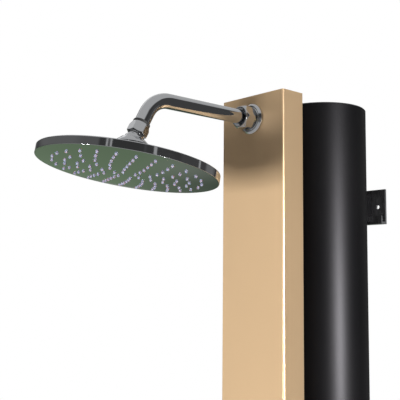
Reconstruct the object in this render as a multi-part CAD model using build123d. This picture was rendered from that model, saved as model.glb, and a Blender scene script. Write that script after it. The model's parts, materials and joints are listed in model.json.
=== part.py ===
from build123d import *
import os
from math import acos, cos, degrees, hypot, radians, sin

# Wall-hung solar shower: a flat satin column in front, a round black water tank
# behind it, a bent chrome arm and a round rain head on a ball joint.
# Millimetres. X is to the right, -Y towards the user, +Y into the wall, Z up.
# The origin is the centre of the upper wall plate's back face.

# Column
column_width = 131.0
column_depth = 46.4
column_height = 1180.0
column_wall = 2.0
column_corner = 3.0
column_least_corner = 0.5
cap_thickness = 2.5
cap_skirt_depth = 12.0
cap_skirt_wall = 2.0
column_above_origin = 160.0

# Tank
tank_diameter = 153.8
tank_wall = 3.2
tank_foot_gap = 80.0
tank_cap_thickness = 6.0
tank_cap_spigot = 26.0
tank_cap_edge = 2.0
tank_groove_reach = 10.4
tank_groove_depth = 2.4
tank_groove_width = 3.6
tank_seal_section = 3.0
tank_gap = 42.2
wall_gap = 20.0

# Fits
slip_gap = 0.3
ball_gap = 0.08
cut_margin = 1.0

# Wall plates and the saddles that hang on them
plate_width = 130.0
plate_height = 60.0
plate_thickness = 4.0
plate_hole_spacing = 100.0
plate_hole_diameter = 7.0
lower_plate_height = 200.0
hook_channel = 8.0
hook_lip_thickness = 3.0
hook_lip_height = 14.0
hook_ledge_thickness = 4.0
saddle_width = 76.0
saddle_height = 49.3
saddle_reach = 38.4
tongue_length = 11.0
lock_screw_diameter = 3.6
lock_screw_bite = 8.8
lock_screw_head = 7.2
lock_screw_head_height = 3.0

# Spacers between the column and the tank
spacer_width = 34.0
spacer_height = 70.0
spacer_wrap = 6.0
upper_spacer_drop = 110.0
lower_spacer_height = 250.0
spacer_screw_spacing = 44.0
spacer_screw_diameter = 5.0
spacer_screw_length = 16.0
spacer_screw_head = 9.0
spacer_screw_head_height = 3.0

# Arm
arm_drop = 37.3
arm_diameter = 22.0
arm_wall = 1.5
arm_straight = 167.7
arm_bend_radius = 43.4
arm_turn = 60.8
arm_tail = 14.4
arm_thread_length = 10.0
arm_thread_depth = 0.55

# Fittings where the arm leaves the column
flange_diameter = 48.0
flange_thickness = 5.5
flange_edge = 2.0
flange_edge_bevel = 0.6
gasket_diameter = 44.0
gasket_thickness = 0.8
spigot_diameter = 26.4
spigot_reach = 15.0
nut_across_flats = 34.0
nut_length = 18.0
nut_start = 7.4
nut_back_chamfer = 0.8
nut_front_chamfer = 2.4
nut_front_inset = 0.2
nut_recess_depth = 3.0
nut_recess_diameter = 28.5
nut_collar_diameter = 34.0
ferrule_diameter = 25.4
ferrule_thickness = 3.0
elbow_diameter = 30.0
elbow_seat = 26.0

# Swivel nut and ball
swivel_across_flats = 25.4
swivel_length = 22.0
swivel_hex_length = 16.5
swivel_top_diameter = 23.4
swivel_shoulder_height = 3.0
swivel_crown_height = 5.5
swivel_corner_trim = 0.4
swivel_low_chamfer = 1.6
swivel_ring_diameter = 25.4
swivel_groove_depth = 1.1
swivel_groove_height = 1.1
swivel_groove_bevel = 0.6
swivel_lip_height = 2.2
swivel_lip_inset = 1.8
swivel_floor = 4.0
seal_ring_height = 1.8
seal_ring_edge = 0.5
washer_thickness = 1.5
ball_reach = 35.0
ball_diameter = 23.0
neck_diameter = 12.6
water_bore = 8.0
liner_thickness = 1.4
liner_top_angle = 60.0
liner_low_angle = 86.0
cup_top_angle = 94.0
cup_low_angle = 140.0

# Shower head, measured up its own axis from the rim's lower edge
head_diameter = 250.0
rim_height = 11.3
rim_wall = 1.5
rim_low_round = 0.5
rim_top_round = 1.2
head_crown = 8.0
head_sheet = 1.5
head_passage = 12.8
hub_diameter = 34.0
hub_bottom = 13.5
hub_root_width = 7.0
hub_root_rise = 3.0
collar_diameter = 42.0
collar_skirt = 8.5
collar_skirt_edge = 1.0
collar_edge_height = 1.2
collar_edge_round = 1.6
collar_edge_bevel = 0.5
collar_shoulder_width = 4.6
collar_shoulder_rise = 1.4
collar_neck_width = 3.2
collar_neck_rise = 4.0
collar_lip_width = 1.6
collar_lip_overlap = 3.0
ball_height = 41.3
head_lean = 8.84
head_roll = 2.37
face_sag = 6.0
face_thickness = 1.0
face_margin = 1.2
mat_thickness = 1.6
nozzle_inlet_height = 0.6
nozzle_rings = 6
nozzle_ring_pitch = 16.95
nozzle_first_count = 6
nozzle_count_step = 4
nozzle_pattern_angle = 156.9
nozzle_sides = 6
nozzle_hole_gap = 0.3
nozzle_base_diameter = 4.6
nozzle_tip_diameter = 3.2
nozzle_reach = 2.2
clamp_ring_width = 8.0
clamp_ring_height = 1.6

# Mixer
mixer_height = 220.0
mixer_body_diameter = 48.0
mixer_body_depth = 36.0
mixer_nose_diameter = 41.0
mixer_nose_reach = 7.0
mixer_outlet_rise = 50.0
mixer_bar_diameter = 20.0
cartridge_diameter = 35.0
cartridge_length = 26.0
lock_ring_diameter = 46.0
lock_ring_grip = 4.8
lock_ring_front = 2.0
lock_ring_chamfer = 0.8
escutcheon_diameter = 74.0
escutcheon_thickness = 5.0
escutcheon_round = 3.0
escutcheon_bevel = 1.0
carrier_diameter = 25.0
carrier_thickness = 5.0
carrier_slot_length = 17.5
spindle_diameter = 6.0
spindle_length = 26.0
spindle_socket_depth = 8.0
pivot_ball_diameter = 11.0
shroud_radius = 27.0
shroud_wall = 1.6
shroud_opening_diameter = 29.4
shroud_opening_tilt = 10.0
handle_wall = 2.6
handle_cover_angle = 56.0
handle_boss_diameter = 10.0
lever_length = 92.0
lever_width = 15.0
lever_thickness = 9.0
lever_round = 4.0
lever_tip_width = 12.0
lever_tip_thickness = 5.4
lever_tip_round = 2.5
lever_root_drop = 7.2
lever_rise = 12.0

# Pipes and fittings inside the column and under the tank
pipe_diameter = 15.0
pipe_wall = 1.0
pipe_insertion = 12.0
port_spacing = 64.0
port_drop = 30.0
fitting_diameter = 19.6
fitting_reach = 21.0
run_diameter = 24.0
branch_gap = 1.0
link_height = 44.0
standpipe_diameter = 16.0
standpipe_wall = 2.0
standpipe_top_gap = 30.0
union_nut_across_flats = 26.0
union_nut_height = 10.8
union_length = 24.0
inlet_diameter = 20.95
inlet_thread_length = 10.0
inlet_body_diameter = 22.6
inlet_bore = 11.0
inlet_nut_across_flats = 30.0
inlet_nut_thickness = 6.0
drain_across_flats = 22.0
drain_thread_diameter = 20.0
drain_thread_reach = 10.0
drain_head_height = 10.0
clip_count = 3
clip_wall = 2.4
clip_height = 14.0
clip_foot_width = 14.0
clip_mouth_width = 10.7
clip_first_drop = 180.0
clip_spacing = 260.0

# Places worked out from the sizes above
tank_radius = tank_diameter / 2
top_z = column_above_origin
bottom_z = top_z - column_height
tank_y = -(wall_gap + tank_radius)
back_y = tank_y - tank_radius - tank_gap
front_y = back_y - column_depth
middle_y = (front_y + back_y) / 2
shell_top_z = top_z - cap_thickness
shell_bottom_z = bottom_z + cap_thickness
tank_bottom_z = bottom_z + tank_foot_gap
plate_heights = (0.0, bottom_z + lower_plate_height)
spacer_heights = (top_z - upper_spacer_drop, bottom_z + lower_spacer_height)
arm_z = top_z - arm_drop
mixer_z = bottom_z + mixer_height
port_z = mixer_z - port_drop
leg_foot_z = port_z - port_drop
outlet_top_z = mixer_z + mixer_outlet_rise
link_z = tank_bottom_z - link_height
flange_y = front_y - gasket_thickness
tongue_y = -(plate_thickness + hook_channel / 2)
cold_x = -port_spacing / 2
hot_x = port_spacing / 2

turn = radians(arm_turn)
bend_end = Vector(
    0,
    front_y - arm_straight - arm_bend_radius * sin(turn),
    arm_z - arm_bend_radius * (1 - cos(turn)),
)
tail_direction = Vector(0, -cos(turn), -sin(turn))
nut_top = bend_end + tail_direction * arm_tail
ball_centre = nut_top + tail_direction * ball_reach
swivel_frame = Plane(origin=nut_top, x_dir=(1, 0, 0), z_dir=tail_direction)

ball_radius = ball_diameter / 2
liner_inner = ball_radius + ball_gap
liner_outer = liner_inner + liner_thickness
pocket_radius = liner_outer + ball_gap

# The head leans away from the column and rolls a little, both about the ball.
head_turn = Location(ball_centre, (-head_lean, head_roll, 0))
head_frame = head_turn * Location((0, 0, -ball_height))

STAND = (Align.CENTER, Align.CENTER, Align.MIN)


def place(shape, y, z, x=0.0):
    return Location((x, y, z)) * shape


def tube_along(start, end, outer, inner=0.0):
    """A rod or a tube from one point to another."""
    run = Vector(*end) - Vector(*start)
    frame = Plane(origin=start, z_dir=run)
    body = frame * Cylinder(outer / 2, run.length, align=STAND)
    if inner:
        body -= frame * Cylinder(inner / 2, run.length, align=STAND)
    return body


def blind_hole(mouth, floor, diameter):
    """A cutter that runs a little past the mouth only."""
    outwards = (Vector(*mouth) - Vector(*floor)).normalized()
    return tube_along(floor, Vector(*mouth) + outwards * cut_margin, diameter)


def through_hole(start, end, diameter):
    """A cutter that runs a little past both points."""
    inwards = (Vector(*end) - Vector(*start)).normalized()
    return blind_hole(start, Vector(*end) + inwards * cut_margin, diameter)


def hexagon_along(start, end, across_flats):
    run = Vector(*end) - Vector(*start)
    frame = Plane(origin=start, x_dir=(1, 0, 0), z_dir=run)
    outline = RegularPolygon(across_flats / 2, 6, major_radius=False)
    return extrude(frame * outline, run.length, dir=run.normalized())


def hexagon_corner(across_flats):
    return across_flats / 2 / cos(radians(30))


def turned(*points):
    """A solid turned about Z from an outline of (radius, height) points."""
    outline = Polyline(*[(r, 0, h) for r, h in points], close=True)
    return revolve(make_face(outline), Axis.Z)


def shell_zone(inner, outer, top_angle, low_angle):
    """Part of a hollow ball, between two angles from its top."""
    def point(radius, angle):
        return (radius * sin(radians(angle)), 0, radius * cos(radians(angle)))

    middle_angle = (top_angle + low_angle) / 2
    outer_arc = ThreePointArc(
        point(outer, top_angle), point(outer, middle_angle), point(outer, low_angle)
    )
    low_edge = Line(point(outer, low_angle), point(inner, low_angle))
    inner_arc = ThreePointArc(
        point(inner, low_angle), point(inner, middle_angle), point(inner, top_angle)
    )
    top_edge = Line(point(inner, top_angle), point(outer, top_angle))
    outline = make_face(Wire([outer_arc, low_edge, inner_arc, top_edge]))
    return revolve(outline, Axis.Z)


# Column and its caps
def column_outline(inset=0.0):
    corner = max(column_corner - inset, column_least_corner)
    return RectangleRounded(column_width - 2 * inset, column_depth - 2 * inset, corner)


def column_block(inset, low, high):
    block = extrude(column_outline(inset), high - low)
    return place(block, middle_y, low)


def spacer_screw_places():
    return [
        z + side * spacer_screw_spacing / 2
        for z in spacer_heights
        for side in (-1, 1)
    ]


def column_shell():
    body = column_block(0, shell_bottom_z, shell_top_z)
    body -= column_block(column_wall, shell_bottom_z, shell_top_z)
    inside_front = front_y + column_wall
    inside_back = back_y - column_wall
    arm_hole = spigot_diameter + 2 * slip_gap
    mixer_hole = mixer_nose_diameter + 2 * slip_gap
    screw_hole = spacer_screw_diameter + 2 * slip_gap
    pipe_hole = pipe_diameter + 2 * slip_gap
    cuts = [
        through_hole((0, front_y, arm_z), (0, inside_front, arm_z), arm_hole),
        through_hole((0, front_y, mixer_z), (0, inside_front, mixer_z), mixer_hole),
    ]
    for z in spacer_screw_places():
        cuts.append(through_hole((0, inside_back, z), (0, back_y, z), screw_hole))
    for x in (cold_x, hot_x):
        cuts.append(through_hole((x, inside_back, link_z), (x, back_y, link_z), pipe_hole))
    return body - cuts


def cap_skirt(low, high):
    skirt_inset = column_wall + slip_gap
    skirt = column_block(skirt_inset, low, high)
    return skirt - column_block(skirt_inset + cap_skirt_wall, low, high)


def column_top_cap():
    plate = column_block(0, shell_top_z, top_z)
    return plate + cap_skirt(shell_top_z - cap_skirt_depth, shell_top_z)


def column_bottom_cap():
    plate = column_block(0, bottom_z, shell_bottom_z)
    cap = plate + cap_skirt(shell_bottom_z, shell_bottom_z + cap_skirt_depth)
    low = (cold_x, middle_y, bottom_z)
    high = (cold_x, middle_y, shell_bottom_z)
    return cap - through_hole(low, high, inlet_body_diameter + 2 * slip_gap)


# Tank
def tank_tube():
    low = (0, tank_y, tank_bottom_z + tank_cap_thickness)
    high = (0, tank_y, top_z - tank_cap_thickness)
    return tube_along(low, high, tank_diameter, tank_diameter - 2 * tank_wall)


def tank_spigot_radius():
    return tank_radius - tank_wall - slip_gap


def tank_cap_blank():
    """A plug for the tube's end, its outer face at height zero, spigot downwards."""
    spigot = tank_spigot_radius()
    groove = spigot - tank_groove_depth
    groove_top = -tank_cap_thickness - tank_groove_reach
    groove_low = groove_top - tank_groove_width
    end = -tank_cap_thickness - tank_cap_spigot
    inner = spigot - tank_cap_thickness
    return turned(
        (0, 0),
        (tank_radius - tank_cap_edge, 0),
        (tank_radius, -tank_cap_edge),
        (tank_radius, -tank_cap_thickness),
        (spigot, -tank_cap_thickness),
        (spigot, groove_top),
        (groove, groove_top),
        (groove, groove_low),
        (spigot, groove_low),
        (spigot, end),
        (inner, end),
        (inner, -tank_cap_thickness),
        (0, -tank_cap_thickness),
    )


def tank_top_cap():
    return place(tank_cap_blank(), tank_y, top_z)


def tank_bottom_cap():
    flipped = Rot(180, 0, 0) * tank_cap_blank()
    cap = place(flipped, tank_y, tank_bottom_z)
    high = tank_bottom_z + tank_cap_thickness
    holes = [
        through_hole((x, tank_y, tank_bottom_z), (x, tank_y, high), standpipe_diameter + 2 * slip_gap)
        for x in (cold_x, hot_x)
    ]
    drain = drain_thread_diameter + 2 * slip_gap
    holes.append(through_hole((0, tank_y, tank_bottom_z), (0, tank_y, high), drain))
    return cap - holes


def tank_cap_seals():
    inner = tank_spigot_radius() - tank_groove_depth + slip_gap / 2
    outer = tank_spigot_radius() + slip_gap * 2 / 3
    reach = tank_cap_thickness + tank_groove_reach
    seals = []
    for z in (top_z - reach - tank_seal_section, tank_bottom_z + reach):
        ring = turned((inner, 0), (outer, 0), (outer, tank_seal_section), (inner, tank_seal_section))
        seals.append(place(ring, tank_y, z))
    return Compound(children=seals)


def tank_pipe(x, top):
    """A pipe that stands in the tank's floor, from its union up to a height."""
    low = (x, tank_y, tank_bottom_z - union_length)
    bore = standpipe_diameter - 2 * standpipe_wall
    return tube_along(low, (x, tank_y, top), standpipe_diameter, bore)


def tank_standpipe():
    """The hot outlet's inner pipe, open near the top of the tank."""
    return tank_pipe(hot_x, top_z - tank_cap_thickness - standpipe_top_gap)


def tank_cold_nipple():
    return tank_pipe(cold_x, tank_bottom_z + tank_cap_thickness + tank_cap_spigot)


def tank_union_nuts():
    nuts = []
    for x in (cold_x, hot_x):
        start = (x, tank_y, tank_bottom_z)
        end = (x, tank_y, tank_bottom_z - union_nut_height)
        nut = hexagon_along(end, start, union_nut_across_flats)
        nuts.append(nut - tube_along(end, start, standpipe_diameter + 2 * slip_gap))
    return Compound(children=nuts)


def drain_plug():
    under = (0, tank_y, tank_bottom_z)
    head_end = (0, tank_y, tank_bottom_z - drain_head_height)
    thread_end = (0, tank_y, tank_bottom_z + tank_cap_thickness + drain_thread_reach)
    head = hexagon_along(head_end, under, drain_across_flats)
    return head + tube_along(under, thread_end, drain_thread_diameter)


# Wall plates, saddles and spacers
def wall_plate(z):
    lip_y = -(plate_thickness + hook_channel)
    low = z - plate_height / 2
    ledge_top = low + hook_ledge_thickness
    outline = Polyline(
        (0, low),
        (0, low + plate_height),
        (-plate_thickness, low + plate_height),
        (-plate_thickness, ledge_top),
        (lip_y, ledge_top),
        (lip_y, low + hook_lip_height),
        (lip_y - hook_lip_thickness, low + hook_lip_height),
        (lip_y - hook_lip_thickness, low),
        close=True,
    )
    profile = Plane.YZ * make_face(outline)
    plate = Location((-plate_width / 2, 0, 0)) * extrude(profile, plate_width)
    holes = [
        through_hole((x, -plate_thickness, z), (x, 0, z), plate_hole_diameter)
        for x in (-plate_hole_spacing / 2, plate_hole_spacing / 2)
    ]
    screw_hole = lock_screw_diameter + 2 * slip_gap
    holes.append(through_hole((0, tongue_y, low), (0, tongue_y, ledge_top), screw_hole))
    return plate - holes


def wall_saddle(z):
    """Bonded to the tank's back, with a tongue that drops behind the plate's lip."""
    lip_front = -(plate_thickness + hook_channel + hook_lip_thickness)
    low = z - plate_height / 2 + hook_ledge_thickness
    high = low + saddle_height
    lip_top = z - plate_height / 2 + hook_lip_height
    main_back = lip_front - slip_gap
    tongue_front = -(plate_thickness + hook_channel) + slip_gap
    tongue_back = -plate_thickness - slip_gap
    tongue_low = max(lip_top - tongue_length, low + slip_gap)
    outline = Polyline(
        (main_back, low),
        (main_back, lip_top + slip_gap),
        (tongue_front, lip_top + slip_gap),
        (tongue_front, tongue_low),
        (tongue_back, tongue_low),
        (tongue_back, high),
        (tongue_back - saddle_reach, high),
        (tongue_back - saddle_reach, low),
        close=True,
    )
    profile = Plane.YZ * make_face(outline)
    block = Location((-saddle_width / 2, 0, 0)) * extrude(profile, saddle_width)
    block -= through_hole((0, tank_y, low), (0, tank_y, high), tank_diameter + 2 * slip_gap)
    keep_back = [solid for solid in block.solids() if solid.center().Y > tank_y]
    saddle = max(keep_back, key=lambda solid: solid.volume)
    mouth = (0, tongue_y, tongue_low)
    floor = (0, tongue_y, tongue_low + tongue_length)
    return saddle - blind_hole(mouth, floor, lock_screw_diameter)


def lock_screws():
    screws = []
    for z in plate_heights:
        low = z - plate_height / 2
        tip = low + hook_ledge_thickness + lock_screw_bite
        shank = tube_along((0, tongue_y, low), (0, tongue_y, tip), lock_screw_diameter - slip_gap)
        head_low = low - lock_screw_head_height
        head = tube_along((0, tongue_y, head_low), (0, tongue_y, low), lock_screw_head)
        screws.append(shank + head)
    return Compound(children=screws)


def spacer(z):
    """A block bonded to the tank's front and screwed to the column's back."""
    low = z - spacer_height / 2
    depth = tank_gap + spacer_wrap
    block = Box(spacer_width, depth, spacer_height, align=(Align.CENTER, Align.MIN, Align.MIN))
    block = place(block, back_y, low)
    block -= through_hole((0, tank_y, low), (0, tank_y, low + spacer_height), tank_diameter + 2 * slip_gap)
    pilots = []
    for side in (-1, 1):
        height = z + side * spacer_screw_spacing / 2
        floor = (0, back_y + spacer_screw_length, height)
        pilots.append(blind_hole((0, back_y, height), floor, spacer_screw_diameter))
    return block - pilots


def spacer_screws():
    inside = back_y - column_wall
    screws = []
    for z in spacer_screw_places():
        head = tube_along((0, inside - spacer_screw_head_height, z), (0, inside, z), spacer_screw_head)
        tip = inside + spacer_screw_length
        shank = tube_along((0, inside, z), (0, tip, z), spacer_screw_diameter - slip_gap / 2)
        screws.append(head + shank)
    return Compound(children=screws)


# Arm and the fittings at the column
def arm_bore():
    return arm_diameter - 2 * arm_wall


def arm_tube():
    start = Vector(0, front_y - spigot_reach, arm_z)
    bend_start = Vector(0, front_y - arm_straight, arm_z)
    bend_middle = Vector(
        0,
        bend_start.Y - arm_bend_radius * sin(turn / 2),
        arm_z - arm_bend_radius * (1 - cos(turn / 2)),
    )
    path = Wire(
        [
            Line(start, bend_start),
            ThreePointArc(bend_start, bend_middle, bend_end),
            Line(bend_end, nut_top),
        ]
    )
    section = Plane(origin=start, z_dir=(0, -1, 0)) * (Circle(arm_diameter / 2) - Circle(arm_bore() / 2))
    thread_end = nut_top + tail_direction * arm_thread_length
    thread = tube_along(nut_top, thread_end, arm_diameter - 2 * arm_thread_depth, arm_bore())
    return sweep(section, path) + thread


def arm_gasket():
    bore = spigot_diameter + 2 * slip_gap
    return tube_along((0, front_y, arm_z), (0, flange_y, arm_z), gasket_diameter, bore)


def wall_flange():
    radius = flange_diameter / 2
    bore = spigot_diameter / 2 + slip_gap
    blank = turned(
        (bore, 0),
        (radius, 0),
        (radius, flange_thickness - flange_edge),
        (radius - flange_edge_bevel, flange_thickness - flange_edge_bevel),
        (radius - flange_edge, flange_thickness),
        (bore, flange_thickness),
    )
    return Plane(origin=(0, flange_y, arm_z), x_dir=(1, 0, 0), z_dir=(0, -1, 0)) * blank


def arm_socket():
    """Brass elbow in the column; its threaded spigot comes out through the front."""
    inside = front_y + column_wall
    spigot_end = front_y - spigot_reach + ferrule_thickness
    low = arm_z - elbow_diameter
    spigot = tube_along((0, inside, arm_z), (0, spigot_end, arm_z), spigot_diameter)
    body = tube_along((0, inside, arm_z), (0, inside + elbow_seat, arm_z), elbow_diameter)
    down = tube_along((0, middle_y, arm_z), (0, middle_y, low), fitting_diameter)
    across = blind_hole((0, spigot_end, arm_z), (0, middle_y, arm_z), arm_bore())
    floor = (0, middle_y, low + pipe_insertion)
    socket = blind_hole((0, middle_y, low), floor, pipe_diameter + 2 * slip_gap)
    water = tube_along((0, middle_y, low), (0, middle_y, arm_z), pipe_diameter - 2 * pipe_wall)
    return spigot + body + down - across - socket - water


def arm_ferrule():
    """The collar brazed on the arm's end, which the union nut pulls against the spigot."""
    face = front_y - spigot_reach
    back = (0, face + ferrule_thickness, arm_z)
    front = (0, face - ferrule_thickness, arm_z)
    ring_back = (0, face + ferrule_thickness - slip_gap, arm_z)
    ring = tube_along(ring_back, front, ferrule_diameter)
    return ring - through_hole(back, front, arm_diameter)


def arm_nut():
    start = flange_y - (nut_start - gasket_thickness)
    end = start - nut_length
    radius = nut_across_flats / 2
    corner = hexagon_corner(nut_across_flats)
    blank = hexagon_along((0, start, arm_z), (0, end, arm_z), nut_across_flats)
    trim = turned(
        (0, 0),
        (corner - nut_back_chamfer, 0),
        (corner, nut_back_chamfer),
        (corner, nut_length - nut_front_chamfer),
        (radius - nut_front_inset, nut_length),
        (0, nut_length),
    )
    blank &= Plane(origin=(0, start, arm_z), x_dir=(1, 0, 0), z_dir=(0, -1, 0)) * trim
    collar = tube_along((0, start, arm_z), (0, flange_y - flange_thickness, arm_z), nut_collar_diameter)
    thread_end = front_y - spigot_reach - ferrule_thickness - slip_gap
    thread = tube_along((0, flange_y, arm_z), (0, thread_end, arm_z), spigot_diameter + slip_gap)
    tube_hole = through_hole((0, start, arm_z), (0, end, arm_z), arm_diameter + 2 * slip_gap)
    recess = blind_hole((0, end, arm_z), (0, end + nut_recess_depth, arm_z), nut_recess_diameter)
    return blank + collar - thread - tube_hole - recess


# Swivel nut, ball and seats
def nut_seal_ring():
    inner = arm_diameter / 2 + slip_gap / 3
    outer = swivel_top_diameter / 2
    ring = turned(
        (inner, -seal_ring_height),
        (outer - seal_ring_edge, -seal_ring_height),
        (outer, -seal_ring_height + seal_ring_edge),
        (outer, 0),
        (inner, 0),
    )
    return swivel_frame * ring


def swivel_thread_radius():
    return arm_diameter / 2 - arm_thread_depth


def swivel_nut():
    radius = swivel_across_flats / 2
    corner = hexagon_corner(swivel_across_flats)
    ring = swivel_ring_diameter / 2
    groove = ring - swivel_groove_depth
    groove_end = swivel_hex_length + swivel_groove_height
    blank = extrude(RegularPolygon(radius, 6, major_radius=False), swivel_hex_length)
    trim = turned(
        (0, 0),
        (swivel_top_diameter / 2, 0),
        (radius + swivel_corner_trim, swivel_shoulder_height),
        (corner, swivel_crown_height),
        (corner, swivel_hex_length - swivel_low_chamfer),
        (radius - swivel_corner_trim, swivel_hex_length),
        (0, swivel_hex_length),
    )
    foot = turned(
        (0, swivel_hex_length),
        (groove, swivel_hex_length),
        (groove, groove_end),
        (ring, groove_end + swivel_groove_bevel),
        (ring, swivel_length - swivel_lip_height),
        (ring - swivel_lip_inset, swivel_length),
        (0, swivel_length),
    )
    body = (blank & trim) + foot
    body -= Cylinder(swivel_thread_radius() + slip_gap / 3, swivel_length - swivel_floor, align=STAND)
    body -= Cylinder(neck_diameter / 2 + slip_gap / 3, swivel_length, align=STAND)
    return swivel_frame * body


def ball_stem():
    """Hollow ball on a neck, held in the swivel nut by a flange."""
    flange_top = arm_thread_length + slip_gap + washer_thickness
    flange_low = swivel_length - swivel_floor
    neck = tube_along((0, 0, flange_low), (0, 0, ball_reach), neck_diameter)
    flange = tube_along((0, 0, flange_top), (0, 0, flange_low), swivel_thread_radius() * 2)
    ball = place(Sphere(ball_radius), 0, ball_reach)
    water = through_hole((0, 0, flange_top), (0, 0, ball_reach + ball_radius), water_bore)
    return swivel_frame * (neck + flange + ball - water)


def inlet_strainer():
    """Rubber washer with a flow hole, between the arm's end and the ball stem."""
    top = arm_thread_length + slip_gap
    washer = tube_along((0, 0, top), (0, 0, top + washer_thickness), swivel_thread_radius() * 2, water_bore)
    return swivel_frame * washer


def ball_liner():
    ring = shell_zone(liner_inner, liner_outer, liner_top_angle, liner_low_angle)
    return head_turn * ring


def ball_cup():
    ring = shell_zone(liner_inner, liner_outer, cup_top_angle, cup_low_angle)
    return head_turn * ring


def swivel_collar():
    """Screwed over the head's hub; its spherical lip traps the liner and the ball."""
    lip_angle = radians(liner_top_angle - collar_lip_overlap)
    lip_radius = pocket_radius * sin(lip_angle)
    lip_height = pocket_radius * cos(lip_angle)
    radius = collar_diameter / 2
    edge = collar_edge_height
    blank = turned(
        (0, -collar_skirt),
        (radius - collar_skirt_edge, -collar_skirt),
        (radius, -collar_skirt + collar_skirt_edge),
        (radius, edge - collar_edge_round),
        (radius - collar_edge_bevel, edge - collar_edge_bevel),
        (radius - collar_edge_round, edge),
        (radius - collar_shoulder_width, edge + collar_shoulder_rise),
        (lip_radius + collar_neck_width, edge + collar_neck_rise),
        (lip_radius + collar_lip_width, lip_height),
        (0, lip_height),
    )
    blank -= Sphere(pocket_radius)
    opening = Cylinder(lip_radius, lip_height + cut_margin, align=STAND)
    thread = Cylinder(
        hub_diameter / 2 + slip_gap / 3, collar_skirt, align=(Align.CENTER, Align.CENTER, Align.MAX)
    )
    return head_turn * (blank - opening - thread)


# Shower head
def head_shell():
    """Rim band, low crown and hub in one piece, with a spherical pocket in the hub."""
    rim = head_diameter / 2
    hub = hub_diameter / 2
    crown_top = rim_height + head_crown
    hub_top = ball_height - slip_gap
    blank = turned(
        (rim - rim_wall, 0),
        (rim - rim_low_round, 0),
        (rim, rim_low_round),
        (rim, rim_height - rim_top_round),
        (rim - rim_top_round, rim_height),
        (hub + hub_root_width, crown_top),
        (hub, crown_top + hub_root_rise),
        (hub, hub_top),
        (0, hub_top),
        (0, hub_bottom),
        (hub, hub_bottom),
        (hub + hub_root_width, crown_top - head_sheet),
        (rim - rim_wall, rim_height - head_sheet),
    )
    pocket = place(Sphere(pocket_radius), 0, ball_height)
    passage = Cylinder(head_passage / 2, ball_height, align=STAND)
    return head_frame * (blank - pocket - passage)


def face_radius():
    """Radius of the sphere that the domed face is part of."""
    half = head_diameter / 2 - rim_wall
    return (half**2 + face_sag**2) / (2 * face_sag)


def domed_sheet(top_offset, thickness, outer_radius):
    """A thin round sheet that follows the face's dome, a given way above its outside."""
    sphere = face_radius()
    centre = sphere - face_sag
    high = sphere - top_offset
    low = high + thickness

    def point(radius, across):
        return (across, 0, centre - (radius**2 - across**2) ** 0.5)

    half = outer_radius / 2
    outer_arc = ThreePointArc(point(low, 0), point(low, half), point(low, outer_radius))
    edge = Line(point(low, outer_radius), point(high, outer_radius))
    inner_arc = ThreePointArc(point(high, outer_radius), point(high, half), point(high, 0))
    axis_line = Line(point(high, 0), point(low, 0))
    return revolve(make_face(Wire([outer_arc, edge, inner_arc, axis_line])), Axis.Z)


def nozzle_places():
    """Centres of the nozzles across the face, ring by ring."""
    places = []
    for ring in range(nozzle_rings):
        count = nozzle_first_count + nozzle_count_step * ring
        radius = nozzle_ring_pitch * (ring + 1)
        for index in range(count):
            angle = radians(nozzle_pattern_angle + (index + 0.5) * 360 / count)
            places.append((radius * cos(angle), radius * sin(angle)))
    return places


def face_height(across):
    """Height of the face's outside at a distance from the axis."""
    sphere = face_radius()
    return sphere - face_sag - (sphere**2 - across**2) ** 0.5


def face_plate():
    outer = head_diameter / 2 - rim_wall - slip_gap / 3
    plate = domed_sheet(face_thickness, face_thickness, outer)
    hole = RegularPolygon(nozzle_base_diameter / 2 + nozzle_hole_gap, nozzle_sides)
    holes = []
    for x, y in nozzle_places():
        low = face_height(hypot(x, y)) - cut_margin
        holes.append(extrude(Location((x, y, low)) * hole, face_thickness + 2 * cut_margin))
    return head_frame * (plate - holes)


def mat_outer_radius():
    return head_diameter / 2 - rim_wall - face_margin


def nozzle_mat():
    """Flexible mat over the face plate, with a tapered nozzle through each of its holes."""
    rise = face_thickness + slip_gap / 3
    mat = domed_sheet(rise + mat_thickness, mat_thickness, mat_outer_radius())
    length = nozzle_reach + rise + mat_thickness + nozzle_inlet_height
    tip = RegularPolygon(nozzle_tip_diameter / 2, nozzle_sides)
    base = Location((0, 0, length)) * RegularPolygon(nozzle_base_diameter / 2, nozzle_sides)
    nozzle = loft([tip, base])
    nozzles = [
        Location((x, y, face_height(hypot(x, y)) - nozzle_reach)) * nozzle for x, y in nozzle_places()
    ]
    return head_frame * (mat + nozzles)


def mat_clamp_ring():
    """Snap ring that presses the mat's edge onto the face, under the crown."""
    outer = mat_outer_radius()
    low = face_height(outer) + face_thickness + mat_thickness + slip_gap
    high = low + clamp_ring_height
    inner = outer - clamp_ring_width
    return head_frame * turned((inner, low), (outer, low), (outer, high), (inner, high))


# Mixer
def mixer_frame(reach):
    return Plane(origin=(0, front_y - reach, mixer_z), x_dir=(1, 0, 0), z_dir=(0, -1, 0))


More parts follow.
